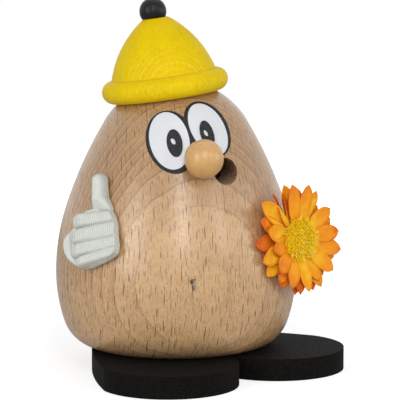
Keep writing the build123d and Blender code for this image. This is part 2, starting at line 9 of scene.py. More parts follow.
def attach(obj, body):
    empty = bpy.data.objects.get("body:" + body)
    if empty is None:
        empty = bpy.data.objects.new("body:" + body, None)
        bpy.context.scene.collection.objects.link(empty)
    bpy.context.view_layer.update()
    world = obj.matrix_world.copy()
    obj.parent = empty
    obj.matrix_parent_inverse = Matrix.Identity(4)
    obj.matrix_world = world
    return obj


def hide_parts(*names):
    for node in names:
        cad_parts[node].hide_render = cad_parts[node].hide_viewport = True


# An incense smoker: a turned beech egg with a printed face, a yellow wooden hat and a cloth flower. It
# lifts off a plug on two black soles. Objects are in metres and the patterns on them in millimetres,
# with +Z up and the nose towards -Y.
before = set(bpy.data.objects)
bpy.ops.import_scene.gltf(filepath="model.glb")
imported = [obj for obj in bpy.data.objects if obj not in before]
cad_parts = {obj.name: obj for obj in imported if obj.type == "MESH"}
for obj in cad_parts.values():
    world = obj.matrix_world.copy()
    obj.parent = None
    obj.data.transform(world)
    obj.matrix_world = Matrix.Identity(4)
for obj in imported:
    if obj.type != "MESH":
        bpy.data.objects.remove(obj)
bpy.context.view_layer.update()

# Camera: the photograph's viewpoint, a long lens a little above the figure and fifteen degrees to its
# right. Only the view angle is set here.
lens = bpy.data.cameras.new("camera")
lens.sensor_width = 36
lens.lens = 149.1
lens.clip_start = 0.02
camera = bpy.data.objects.new("camera", lens)
camera.location = (-0.1506, -0.5966, 0.1267)
camera.rotation_euler = (radians(84), 0, radians(-15))
bpy.context.scene.collection.objects.link(camera)
bpy.context.scene.camera = camera
bpy.context.scene.view_settings.view_transform = "Standard"

# Soft boxes: a pair side by side in front, whose two patches show on the belly, one on the figure's
# right that lights the edge, a weaker one on its left, and one overhead.
figure_middle = Vector((0, 0, 0.065))


def soft_box(name, towards, distance, width, height, watts):
    """A studio soft box that faces the middle of the figure."""
    lamp = bpy.data.lights.new(name, "AREA")
    lamp.shape = "RECTANGLE"
    lamp.size, lamp.size_y = width, height
    lamp.energy = watts
    box = bpy.data.objects.new(name, lamp)
    box.location = figure_middle + Vector(towards).normalized() * distance
    box.rotation_euler = (figure_middle - box.location).to_track_quat("-Z", "Y").to_euler()
    bpy.context.scene.collection.objects.link(box)


soft_box("front_box", towards=(-0.12, -0.86, 0.47), distance=1.1, width=0.19, height=0.8, watts=4.0)
soft_box("front_box_left", towards=(0.48, -0.75, 0.33), distance=1.1, width=0.12, height=0.5, watts=1.4)
soft_box("side_box_right", towards=(-0.78, -0.5, 0.18), distance=1.1, width=0.4, height=0.9, watts=5.3)
soft_box("side_box_left", towards=(0.9, -0.35, 0.12), distance=1.2, width=0.5, height=0.7, watts=3.3)
soft_box("top_box", towards=(0.1, 0.25, 1), distance=1.1, width=0.8, height=0.8, watts=1.2)

# Studio surroundings and floor, plain white. The white is only for the camera and for reflections, so
# the lamps alone light the figure. The floor is a round sheet of paper that keeps the shadow.
world = bpy.data.worlds.new("studio")
bpy.context.scene.world = world
world.use_nodes = True
world_tree = world.node_tree
world_tree.nodes.clear()


def place(tree, kind, sockets=None, **settings):
    """A new node of a material, with its settings made and its sockets given values or wires."""
    made = tree.nodes.new(kind)
    for name, value in settings.items():
        setattr(made, name, value)
    for name, value in (sockets or {}).items():
        if isinstance(value, bpy.types.NodeSocket):
            tree.links.new(value, made.inputs[name])
        else:
            made.inputs[name].default_value = value
    return made


light_path = place(world_tree, "ShaderNodeLightPath").outputs
seen_straight = place(world_tree, "ShaderNodeMath", {
    0: light_path["Is Camera Ray"], 1: light_path["Is Transmission Ray"]}, operation="ADD")
mirrored = place(world_tree, "ShaderNodeMath", {
    0: seen_straight.outputs[0], 1: light_path["Is Glossy Ray"]}, operation="ADD", use_clamp=True)
ambient = place(world_tree, "ShaderNodeBackground", {"Color": (0.95, 0.97, 1, 1), "Strength": 0.3})
backdrop_white = place(world_tree, "ShaderNodeBackground", {"Color": (1, 1, 1, 1), "Strength": 1.0})
surround = place(world_tree, "ShaderNodeMixShader",
                 {0: mirrored.outputs[0], 1: ambient.outputs[0], 2: backdrop_white.outputs[0]})
place(world_tree, "ShaderNodeOutputWorld", {"Surface": surround.outputs[0]})

floor_radius, floor_drop = 1.6, 0.0001
glow_near, glow_far = 0.1, 0.45
floor_mesh = bpy.data.meshes.new("studio_floor")
paper_sheet = bmesh.new()
bmesh.ops.create_circle(paper_sheet, cap_ends=True, segments=96, radius=floor_radius)
bmesh.ops.translate(paper_sheet, verts=paper_sheet.verts, vec=(0, 0, -floor_drop))
paper_sheet.to_mesh(floor_mesh)
paper_sheet.free()
floor = bpy.data.objects.new("studio_floor", floor_mesh)
bpy.context.scene.collection.objects.link(floor)
floor_paper = bpy.data.materials.new("white_paper")
floor_paper.use_nodes = True
paper_tree = floor_paper.node_tree
paper_tree.nodes.clear()
straight = place(paper_tree, "ShaderNodeLightPath").outputs["Is Camera Ray"]
matt = place(paper_tree, "ShaderNodeBsdfDiffuse", {"Color": (0.5, 0.5, 0.5, 1)})
floor_place = place(paper_tree, "ShaderNodeTexCoord")
floor_far = place(paper_tree, "ShaderNodeVectorMath", {0: floor_place.outputs["Object"]}, operation="LENGTH")
floor_glow = place(paper_tree, "ShaderNodeMapRange", {
    "Value": floor_far.outputs["Value"], "From Min": glow_near, "From Max": glow_far,
    "To Min": 0.72, "To Max": 1.1})
glow = place(paper_tree, "ShaderNodeEmission", {"Color": (1, 1, 1, 1), "Strength": floor_glow.outputs[0]})
bright = place(paper_tree, "ShaderNodeAddShader", {0: matt.outputs[0], 1: glow.outputs[0]})
plain = place(paper_tree, "ShaderNodeBsdfDiffuse", {"Color": (0.8, 0.8, 0.8, 1)})
paper = place(paper_tree, "ShaderNodeMixShader", {0: straight, 1: plain.outputs[0], 2: bright.outputs[0]})
place(paper_tree, "ShaderNodeOutputMaterial", {"Surface": paper.outputs[0]})
floor_mesh.materials.append(floor_paper)

# Soles: two flat shapes sawn from dyed black fibre board, 8 mm thick, and screwed to the plug from
# below. Pale fibres show as dust-fine specks in a matt and slightly cloudy black.


def finish(name, colour, roughness, **sockets):
    """A material with its shader, and the coordinates of the piece in millimetres."""
    material = bpy.data.materials.new(name)
    material.use_nodes = True
    tree = material.node_tree
    shader = tree.nodes["Principled BSDF"]
    shader.inputs["Base Color"].default_value = (*colour, 1)
    shader.inputs["Roughness"].default_value = roughness
    for socket, value in sockets.items():
        shader.inputs[socket.replace("_", " ")].default_value = value
    where = place(tree, "ShaderNodeTexCoord")
    millimetres = place(tree, "ShaderNodeMapping",
                        {"Vector": where.outputs["Object"], "Scale": (1000, 1000, 1000)})
    return material, tree, shader, millimetres.outputs[0]


def dress(material, *nodes):
    """Gives carried-over pieces their material."""
    for node in nodes:
        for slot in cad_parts[node].material_slots:
            slot.material = material


def reckon(tree, operation, *terms):
    """The result of a sum on wires or numbers."""
    made = tree.nodes.new("ShaderNodeMath")
    made.operation = operation
    for socket, term in zip(made.inputs, terms):
        if isinstance(term, bpy.types.NodeSocket):
            tree.links.new(term, socket)
        else:
            socket.default_value = term
    return made.outputs[0]


def times(tree, one, other):
    """The product of two wires or numbers."""
    return reckon(tree, "MULTIPLY", one, other)


def between(tree, amount, low, high, start=0.0, end=1.0):
    """Turns a value that runs from low to high into one from start to end, eased at both ends."""
    made = place(tree, "ShaderNodeMapRange", {"Value": amount, "From Min": low, "From Max": high,
                 "To Min": start, "To Max": end}, interpolation_type="SMOOTHSTEP")
    return made.outputs[0]


def tint(tree, amount, base, over):
    """Lays one colour over another by a mask."""
    made = place(tree, "ShaderNodeMix", data_type="RGBA")
    for index, value in ((0, amount), (6, base), (7, over)):
        if isinstance(value, bpy.types.NodeSocket):
            tree.links.new(value, made.inputs[index])
        elif index:
            made.inputs[index].default_value = (*value, 1)
        else:
            made.inputs[index].default_value = value
    return made.outputs[2]


def noise(tree, where, scale, detail, roughness=0.5):
    """A cloudy pattern from 0 to 1, with a scale in patches to the millimetre."""
    made = place(tree, "ShaderNodeTexNoise",
                 {"Vector": where, "Scale": scale, "Detail": detail, "Roughness": roughness})
    return made.outputs[0]


def emboss(tree, shader, height, strength, distance):
    """Raises and lowers a surface by a pattern."""
    relief = place(tree, "ShaderNodeBump", {"Height": height, "Strength": strength, "Distance": distance})
    tree.links.new(relief.outputs[0], shader.inputs["Normal"])


board, tree, shader, at = finish("black_board", (0.006, 0.0055, 0.005), 0.75, Specular_IOR_Level=0.05)
fibre_specks = place(tree, "ShaderNodeTexVoronoi", {"Vector": at, "Scale": 1.3, "Randomness": 1.0})
speck = between(tree, fibre_specks.outputs["Distance"], 0.16, 0.05)
speck_pick = place(tree, "ShaderNodeSeparateColor", {0: fibre_specks.outputs["Color"]}).outputs[0]
speck = times(tree, speck, between(tree, speck_pick, 0.62, 0.95))
felt = noise(tree, at, 0.9, 6.0, 0.7)
cloudy = tint(tree, between(tree, felt, 0.3, 0.7), (0.0025, 0.0023, 0.002), (0.0095, 0.0088, 0.0082))
tree.links.new(tint(tree, speck, cloudy, (0.07, 0.062, 0.052)), shader.inputs["Base Color"])
tree.links.new(between(tree, felt, 0.3, 0.7, 0.62, 0.85), shader.inputs["Roughness"])
emboss(tree, shader, felt, 0.35, 0.0002)
dress(board, "foot_left", "foot_right")

# Plug and dowels: turned from the same beech as the egg and left plain. The egg slips over the plug,
# and the dowels are glued into drilled holes.


def plus(tree, one, other):
    """The sum of two wires or numbers."""
    return reckon(tree, "ADD", one, other)


def minus(tree, one, other):
    """The difference of two wires or numbers."""
    return reckon(tree, "SUBTRACT", one, other)


def away(tree, aside, along):
    """The distance that two offsets at right angles make."""
    return reckon(tree, "SQRT", plus(tree, times(tree, aside, aside), times(tree, along, along)))


def grain_group():
    """Beech grain cut from one block: growth rings round a pith that lies off the piece, rays that show
    as short dark upright flecks, and fine fibres. Lengths are in millimetres."""
    group = bpy.data.node_groups.new("beech_grain", "ShaderNodeTree")
    settings = {
        "Place": (0, 0, 0), "Pith": (0, 130, 0), "First Ring": 44.6, "Ring Width": 2.6, "Widening": 0.105,
        "Wander": 0.5, "Ray Gap": 2.8, "Ray Step": 8.4, "Ray Width": 0.145, "Ray Length": 3.2}
    for name, value in settings.items():
        kind = "NodeSocketVector" if isinstance(value, tuple) else "NodeSocketFloat"
        group.interface.new_socket(name, in_out="INPUT", socket_type=kind).default_value = value
    for name in ("Ring Line", "Ring Tone", "Flecks", "Fibres", "Mottle", "Specks"):
        group.interface.new_socket(name, in_out="OUTPUT", socket_type="NodeSocketFloat")
    given = place(group, "NodeGroupInput").outputs
    result = place(group, "NodeGroupOutput").inputs

    def stretched(*scales):
        """The place, with each of its axes stretched or squeezed."""
        made = place(group, "ShaderNodeVectorMath", {0: given["Place"], 1: scales}, operation="MULTIPLY")
        return made.outputs[0]

    def level_length(part):
        """The length of a place's level part."""
        level = place(group, "ShaderNodeCombineXYZ", {0: part[0], 1: part[1]})
        length = place(group, "ShaderNodeVectorMath", {0: level.outputs[0]}, operation="LENGTH")
        return length.outputs["Value"]

    # Rings: a dark line at each one's edge and, where they are narrow, a finer line halfway
    wave = place(group, "ShaderNodeTexNoise",
                 {"Vector": stretched(0.05, 0.05, 0.03), "Scale": 1.0, "Detail": 2.0})
    wander = times(group, minus(group, wave.outputs[0], 0.5), times(group, given["Wander"], 4.0))
    offset = place(group, "ShaderNodeVectorMath", {0: given["Place"], 1: given["Pith"]}, operation="SUBTRACT")
    part = place(group, "ShaderNodeSeparateXYZ", {0: offset.outputs[0]}).outputs
    radius = level_length(part)
    pith_far = level_length(place(group, "ShaderNodeSeparateXYZ", {0: given["Pith"]}).outputs)
    depth = plus(group, minus(group, radius, pith_far), wander)
    front_width = 0.51
    widened = reckon(group, "MULTIPLY_ADD", depth, given["Widening"], front_width)
    width = reckon(group, "MAXIMUM", given["Ring Width"], widened)
    count = reckon(group, "DIVIDE", minus(group, depth, given["First Ring"]), width)
    share = reckon(group, "FRACT", count)
    fading = between(group, wave.outputs["Color"], 0.35, 0.62, 0.35, 1.0)
    close = times(group, fading, between(group, width, 5.0, 3.6, 0.26, 1.0))
    to_edge = times(group, minus(group, 1.0, share), width)
    line = times(group, between(group, to_edge, 0.6, 0.1), between(group, to_edge, 0.0, 0.08))
    finer_ring = reckon(group, "FRACT", times(group, count, 2.0))
    finer_line = times(group, between(group, finer_ring, 0.62, 0.95), between(group, finer_ring, 1.0, 0.96))
    finer_line = times(group, finer_line, between(group, width, 4.3, 3.2, 0.0, 0.6))
    ring_line = times(group, reckon(group, "MAXIMUM", line, finer_line), close)
    group.links.new(ring_line, result["Ring Line"])
    tone = times(group, between(group, share, 0.1, 0.95), between(group, share, 1.0, 0.99))
    group.links.new(times(group, tone, close), result["Ring Tone"])

    # Rays: three sizes, one to a cell, each set at random in its cell so that the cell's sides don't cut
    # it. They end after 12.5 mm of depth.
    front_depth, ray_depth = 40.0, 12.5
    bearing = reckon(group, "ARCTAN2", part[0], times(group, part[1], -1.0))
    round_the_pith = times(group, bearing, plus(group, pith_far, front_depth))
    rays = 0.0
    for finer, weakest, strongest in ((0.37, 0.15, 0.5), (0.62, 0.3, 0.85), (1.0, 0.55, 1.0)):
        gap, step = times(group, given["Ray Gap"], finer), times(group, given["Ray Step"], finer)
        across = reckon(group, "DIVIDE", round_the_pith, gap)
        column = reckon(group, "FLOOR", across)
        column_lot = place(group, "ShaderNodeTexWhiteNoise", {"W": plus(group, column, 40 * finer)},
                           noise_dimensions="1D").outputs["Value"]
        upright = plus(group, reckon(group, "DIVIDE", part[2], step), times(group, column_lot, 9.0))
        row = reckon(group, "FLOOR", upright)
        ray_end = reckon(group, "MULTIPLY_ADD", radius, 1 / ray_depth, times(group, column_lot, 7.0))
        layer = plus(group, reckon(group, "FLOOR", ray_end), 10 * finer)
        cell = place(group, "ShaderNodeCombineXYZ", {0: column, 1: row, 2: layer})
        lot = place(group, "ShaderNodeTexWhiteNoise", {"Vector": cell.outputs[0]}, noise_dimensions="3D")
        strength_lot = lot.outputs["Value"]
        aside_lot, along_lot, size_lot = place(
            group, "ShaderNodeSeparateColor", {0: lot.outputs["Color"]}).outputs
        along = minus(group, reckon(group, "FRACT", upright), between(group, along_lot, 0.0, 1.0, 0.38, 0.62))
        along = times(group, along, step)
        aside = minus(group, reckon(group, "FRACT", across), between(group, aside_lot, 0.0, 1.0, 0.12, 0.88))
        leaning = times(group, along, between(group, size_lot, 0.0, 1.0, 0.03, -0.05))
        aside = plus(group, times(group, aside, gap), leaning)
        ray_wide = between(group, strength_lot, 0.0, 1.0, 0.55 + 0.2 * finer, 0.7 + 0.45 * finer)
        ray_tall = times(group, given["Ray Length"], finer)
        ray_tall = times(group, ray_tall, between(group, size_lot, 0.0, 1.0, 0.45, 1.15))
        aside = reckon(group, "DIVIDE", aside, times(group, given["Ray Width"], ray_wide))
        along = reckon(group, "DIVIDE", along, ray_tall)
        ray = between(group, away(group, aside, along), 1.1, 0.6)
        ray = times(group, ray, between(group, strength_lot, 0.12, 1.0, weakest, strongest))
        rays = reckon(group, "MAXIMUM", ray, rays)
    group.links.new(rays, result["Flecks"])

    # Fibres, mottle and specks: three finenesses of cloud, the fibres drawn out along the grain
    group.links.new(noise(group, stretched(2.4, 2.4, 0.3), 1.0, 5.0, 0.7), result["Fibres"])
    group.links.new(noise(group, stretched(0.16, 0.16, 0.3), 1.0, 4.0, 0.6), result["Mottle"])
    group.links.new(noise(group, stretched(3.2, 3.2, 1.5), 1.0, 2.0, 0.7), result["Specks"])
    return group


beech_grain = grain_group()


def wood(name, pale, dark, fleck_colour, roughness, grain, bump=0.12, lines=0.3, flecks=0.75, grained=0.32,
         **sockets):
    """A wooden finish from the shared grain: pale and dark wood, flecks, fibres and their relief."""
    material, tree, shader, at = finish(name, pale, roughness, **sockets)
    group = place(tree, "ShaderNodeGroup", node_tree=beech_grain)
    tree.links.new(at, group.inputs["Place"])
    for socket, value in grain.items():
        group.inputs[socket].default_value = value
    out = group.outputs
    tone = plus(tree, times(tree, out["Fibres"], 0.5), times(tree, out["Mottle"], 0.4))
    tone = plus(tree, tone, times(tree, between(tree, out["Specks"], 0.25, 0.75), grained))
    tone = plus(tree, tone, times(tree, out["Ring Tone"], lines * 0.4))
    ground = tint(tree, between(tree, tone, 0.28, 0.88 + grained / 2), pale, dark)
    lined = tint(tree, times(tree, out["Ring Line"], lines), ground, fleck_colour)
    marked = tint(tree, times(tree, out["Flecks"], flecks), lined, fleck_colour)
    tree.links.new(marked, shader.inputs["Base Color"])
    height = minus(tree, times(tree, out["Fibres"], 0.5), out["Flecks"])
    height = plus(tree, height, times(tree, out["Specks"], 1.2))
    emboss(tree, shader, height, bump, 0.00012)
    return material, tree, shader, at, marked, out


beech_pale, beech_dark, beech_fleck = (0.705, 0.448, 0.224), (0.420, 0.238, 0.107), (0.085, 0.038, 0.016)
plug_wood = wood("plug_beech", beech_pale, beech_dark, beech_fleck, 0.5,
                 {"Pith": (0, 80, 0), "Ring Width": 3.2, "Widening": 0})[0]
dress(plug_wood, "base_plug")
dowel_wood = wood("dowel_beech", beech_pale, beech_dark, beech_fleck, 0.55,
                  {"Pith": (0, 40, 60), "Ring Width": 2.6, "Widening": 0, "Ray Length": 1.0})[0]
dress(dowel_wood, "nose_dowel", "hand_pin", "hat_dowel", "bobble_pin")

# Screws: zinc-plated countersunk wood screws. They are driven through the soles into the plug from
# below, until their heads sit under the surface.
zinc, tree, shader, at = finish("zinc_plate", (0.62, 0.62, 0.60), 0.32, Metallic=1.0)
patina = noise(tree, at, 1.5, 4.0)
tree.links.new(tint(tree, patina, (0.70, 0.69, 0.64), (0.50, 0.51, 0.52)), shader.inputs["Base Color"])
tree.links.new(between(tree, patina, 0.3, 0.7, 0.25, 0.45), shader.inputs["Roughness"])
dress(zinc, "sole_screws")

# Dish: pressed from thin sheet, spun-brushed in rings, with tar and ash from the cone near its middle.
# Two brass tacks hold it.
soot_edge, soot_middle = 13.0, 6.0
sheet_metal, tree, shader, at = finish("dish_sheet", (0.72, 0.71, 0.69), 0.3, Metallic=1.0)
x, y, _ = place(tree, "ShaderNodeSeparateXYZ", {0: at}).outputs
from_middle = away(tree, x, y)
brush_rings = place(tree, "ShaderNodeTexNoise",
                    {"W": times(tree, from_middle, 9.0), "Scale": 1.0, "Detail": 2.0},
                    noise_dimensions="1D").outputs[0]
ash = between(tree, noise(tree, at, 0.5, 5.0), 0.4, 0.62)
sooty = times(tree, between(tree, from_middle, soot_edge, soot_middle), ash)
brushed = tint(tree, brush_rings, (0.78, 0.77, 0.74), (0.62, 0.61, 0.60))
tree.links.new(tint(tree, times(tree, sooty, 0.8), brushed, (0.16, 0.11, 0.07)), shader.inputs["Base Color"])
brush_gloss = between(tree, brush_rings, 0.3, 0.7, 0.2, 0.36)
tree.links.new(plus(tree, brush_gloss, times(tree, sooty, 0.4)), shader.inputs["Roughness"])
dress(sheet_metal, "incense_tray")
brass, tree, shader, at = finish("tack_brass", (0.75, 0.52, 0.2), 0.28, Metallic=1.0)
dulling = noise(tree, at, 1.2, 3.0)
tree.links.new(tint(tree, dulling, (0.80, 0.57, 0.24), (0.55, 0.36, 0.13)), shader.inputs["Base Color"])
dress(brass, "tray_tacks")

# Incense cone: pressed charcoal, sawdust and resin, dry and grainy. It stands loose in the dish, and a
# new one is put in for each smoke.
incense, tree, shader, at = finish("pressed_incense", (0.16, 0.075, 0.045), 0.9)
grit = noise(tree, at, 2.6, 6.0, 0.75)
grit_colour = tint(tree, between(tree, grit, 0.35, 0.7), (0.085, 0.04, 0.026), (0.26, 0.13, 0.08))
tree.links.new(grit_colour, shader.inputs["Base Color"])
emboss(tree, shader, grit, 0.7, 0.0004)
dress(incense, "incense_cone")

# Egg: turned hollow from one block of beech with the grain upright and the pith behind, so the growth
# rings show in front as nested arches round the belly. The oil on it shines in specks. Smoke has
# browned the mouth bore and the chamber, and a pin knot sits under the arches.
mouth_x, mouth_z, mouth_radius = 9.6, 75.4, 4.75
chamber_radius, chamber_top = 21.5, 89.5
darkening_start, darkening_end = 50.0, 76.0
egg_wood, tree, shader, at, marked, out = wood(
    "egg_beech", beech_pale, beech_dark, beech_fleck, 0.42,
    {}, bump=0.3, lines=0.6, flecks=1.0, Specular_IOR_Level=0.5, Coat_Weight=0.3, Coat_Roughness=0.22)
x, y, z = place(tree, "ShaderNodeSeparateXYZ", {0: at}).outputs
# Darker towards the top, from the belly up to the mouth
darkened = between(tree, z, darkening_start, darkening_end, 0.0, 0.30)
marked = tint(tree, darkened, marked, (0.16, 0.06, 0.006))
from_bore = away(tree, minus(tree, x, mouth_x), minus(tree, z, mouth_z))
in_bore = between(tree, from_bore, mouth_radius + 0.05, mouth_radius - 0.05)
in_bore = times(tree, in_bore, reckon(tree, "LESS_THAN", y, 0.0))
in_chamber = between(tree, away(tree, x, y), chamber_radius + 0.4, chamber_radius - 0.3)
in_chamber = times(tree, in_chamber, between(tree, z, chamber_top + 0.5, chamber_top - 0.5))
smoked = reckon(tree, "MAXIMUM", in_bore, in_chamber)
bore_grain = place(tree, "ShaderNodeVectorMath", {0: at, 1: (0.75, 0.28, 0.42)}, operation="MULTIPLY")
cracks = place(tree, "ShaderNodeTexVoronoi", {"Vector": bore_grain.outputs[0], "Scale": 1.0},
               feature="DISTANCE_TO_EDGE")
cracked = between(tree, cracks.outputs["Distance"], 0.06, 0.01)
cracked_wood = tint(tree, cracked, (0.50, 0.36, 0.25), (0.10, 0.06, 0.035))
knotted = tint(tree, times(tree, smoked, 0.8), marked, cracked_wood)
ragged = between(tree, noise(tree, at, 2.5, 3.0), 0.3, 0.7, -0.15, 0.15)
# Marks of the knot: middle, half width, half height, lean, where the edge is full, strength and colour
for (knot_x, knot_z), half_width, half_height, lean, edge, strength, colour in (
    ((-1.6, 42.4), 2.0, 4.6, 0.5, 0.1, 0.22, (0.26, 0.120, 0.055)),
    ((-4.3, 36.2), 1.0, 2.6, 0.0, 0.1, 0.5, (0.17, 0.125, 0.085)),
    ((-5.4, 34.4), 0.2, 3.1, -0.08, 0.5, 0.85, (0.075, 0.040, 0.020)),
    ((-5.62, 38.0), 0.72, 1.15, 0.0, 0.6, 0.95, (0.016, 0.011, 0.008)),
    ((-4.75, 38.75), 0.75, 0.42, 0.0, 0.5, 0.75, (0.05, 0.032, 0.020)),
    ((-5.2, 36.0), 0.34, 1.6, -0.12, 0.5, 0.85, (0.035, 0.022, 0.014)),
    ((-1.38, 42.6), 0.19, 2.3, 0.0, 0.5, 0.75, (0.09, 0.046, 0.022)),
):
    along = minus(tree, z, knot_z)
    aside = minus(tree, minus(tree, x, knot_x), times(tree, along, lean))
    aside, along = reckon(tree, "DIVIDE", aside, half_width), reckon(tree, "DIVIDE", along, half_height)
    off_knot = plus(tree, away(tree, aside, along), ragged)
    knot = times(tree, between(tree, off_knot, 1.15, edge), reckon(tree, "LESS_THAN", y, -30.0))
    knotted = tint(tree, times(tree, knot, strength), knotted, colour)
tree.links.new(knotted, shader.inputs["Base Color"])
satin = between(tree, out["Fibres"], 0.3, 0.7, 0.24, 0.4)
tree.links.new(plus(tree, satin, times(tree, smoked, 0.35)), shader.inputs["Roughness"])
oiled = between(tree, out["Specks"], 0.42, 0.62, 0.05, 0.8)
tree.links.new(times(tree, oiled, minus(tree, 1.0, smoked)), shader.inputs["Coat Weight"])
dress(egg_wood, "egg_body")

# Nose: a small turned ball with a clear satin lacquer, so its wood looks warmer than the egg's. It is
# glued on a dowel between the eyes.
nose_wood = wood(
    "nose_beech", (0.655, 0.385, 0.135), (0.500, 0.265, 0.080), (0.300, 0.140, 0.045), 0.4,
    {"Pith": (60, 40, 60), "First Ring": 0, "Ring Width": 2.8, "Widening": 0, "Ray Gap": 1.1, "Ray Step": 2.6,
     "Ray Width": 0.08, "Ray Length": 0.7},
    bump=0.05, lines=0.1, flecks=0.4, grained=0.12, Coat_Weight=0.35, Coat_Roughness=0.25)[0]
dress(nose_wood, "nose")

# Eyes: screen-printed in three thin layers, a joined black ground, two white ovals and the pupils. The
# ink is matt and the wood's pores break the black a little.
ink, tree, shader, at = finish("black_ink", (0.018, 0.018, 0.019), 0.6, Specular_IOR_Level=0.25)
worn = between(tree, noise(tree, at, 2.2, 5.0, 0.75), 0.45, 0.75)
worn_black = tint(tree, worn, (0.009, 0.009, 0.010), (0.075, 0.074, 0.075))
tree.links.new(worn_black, shader.inputs["Base Color"])
dress(ink, "eye_print", "pupil_left", "pupil_right")
white_ink, tree, shader, at = finish("white_ink", (0.77, 0.785, 0.81), 0.4)
clouded_white = tint(tree, noise(tree, at, 0.35, 3.0), (0.68, 0.695, 0.725), (0.73, 0.74, 0.765))
tree.links.new(clouded_white, shader.inputs["Base Color"])
dress(white_ink, "eye_white_left", "eye_white_right")

# Hand: printed in off-white plastic, flat back down, so its layers show as fine rings on the slopes
# and its last strokes as upright lines, raised by a bump and darkened with painted shade in their grooves
# and on the steep walls. It is glued and pinned to the egg. Its own sizes are in millimetres, u to the
# right, v upwards and n out of the egg.
hand_bearing, hand_slope, hand_roll = radians(-56), radians(15.68), radians(12)
hand_middle, glue_gap = Vector((-0.03478, -0.02346, 0.057)), 0.00005
hand_out = Vector((cos(hand_slope) * sin(hand_bearing), -cos(hand_slope) * cos(hand_bearing),
                   sin(hand_slope)))
hand_level = Vector((cos(hand_bearing), sin(hand_bearing), 0))
hand_across = cos(hand_roll) * hand_level + sin(hand_roll) * hand_out.cross(hand_level)
hand_up = hand_out.cross(hand_across)
hand_turn = Matrix((hand_across, hand_up, hand_out)).transposed().to_4x4() @ Matrix.Scale(0.001, 4)
hand_turn.translation = hand_middle + hand_out * glue_gap
palm_width, palm_height = 27.3, 33.2
palm_corners = [(palm_width * u, palm_height * v) for u, v in (
    (0.110, 0.155), (0.262, 0.120), (0.362, -0.020), (0.385, -0.174), (0.408, -0.300), (0.378, -0.375),
    (0.240, -0.428), (0.037, -0.470), (-0.100, -0.483), (-0.264, -0.457), (-0.410, -0.385), (-0.504, -0.291),
    (-0.534, -0.182), (-0.490, -0.098), (-0.350, -0.028), (-0.280, 0.048), (-0.190, 0.118), (-0.060, 0.150))]
palm_edge = []
for index, here in enumerate(palm_corners):
    before, after, beyond = (palm_corners[(index + step) % len(palm_corners)] for step in (-1, 1, 2))
    for share in (0, 0.2, 0.4, 0.6, 0.8):
        palm_edge.append(tuple(
            0.5 * (2 * p1 + (p2 - p0) * share + (2 * p0 - 5 * p1 + 4 * p2 - p3) * share ** 2
                   + (3 * p1 - p0 - 3 * p2 + p3) * share ** 3)
            for p0, p1, p2, p3 in zip(before, here, after, beyond)))
# Each bar: where its middle line starts and ends, and how far it reaches to each side of the two ends
fingers = (((-4.4, -14.1), (11.6, -11.2), 2.1, 1.75), ((-6.5, -9.7), (11.9, -7.8), 2.75, 2.05),
           ((-6.9, -4.6), (11.9, -3.2), 2.85, 2.75), ((-6.1, 1.0), (11.2, 1.3), 2.85, 1.9))
thumb = ((2.0, 14.9), (2.75, 3.5), 2.6, 3.2)
thumb_root = ((2.6, 8.6), (3.3, 4.0), 2.7, 4.4)
finger_end, finger_foot, finger_crest = 5.0, 2.6, 5.35
crest_along, fall_to_tip, fall_to_root = 1.4, 0.17, 0.3
palm_foot, palm_round = 1.2, 1.2
heel_u, heel_v = 1.9, -4.8
heel_ridge, heel_step, heel_groove = 12.35, 11.5, 11.75
thumb_foot, thumb_start = 1.4, 3.5


def inside_edge(u, v, edge):
    """How deep each point lies inside a closed outline, negative outside it."""
    near, within = np.full(u.shape, 1e9), np.zeros(u.shape, bool)
    for (x0, y0), (x1, y1) in zip(edge, edge[1:] + edge[:1]):
        dx, dy = x1 - x0, y1 - y0
        share = np.clip(((u - x0) * dx + (v - y0) * dy) / (dx * dx + dy * dy), 0, 1)
        near = np.minimum(near, np.hypot(u - x0 - share * dx, v - y0 - share * dy))
        if y1 != y0:
            within ^= ((y0 > v) != (y1 > v)) & (u < dx * (v - y0) / dy + x0)
    return np.where(within, near, -near)


def bar(u, v, start, end, start_round, end_round):
    """How deep each point lies inside a round-ended bar, and its distance across it as a share."""
    axis = np.array(end) - np.array(start)
    share = np.clip(((u - start[0]) * axis[0] + (v - start[1]) * axis[1]) / axis.dot(axis), 0, 1)
    wide = start_round + share * (end_round - start_round)
    off = np.hypot(u - start[0] - share * axis[0], v - start[1] - share * axis[1])
    return wide - off, np.clip(off / wide, 0, 1)


def hand_depth(u, v):
    """How deep each point lies inside the hand's outline."""
    deep = inside_edge(u, v, palm_edge)
    for finger in fingers:
        deep = np.maximum(deep, np.minimum(bar(u, v, *finger)[0], finger_end - u))
    for shape in (thumb, thumb_root):
        deep = np.maximum(deep, bar(u, v, *shape)[0])
    return deep


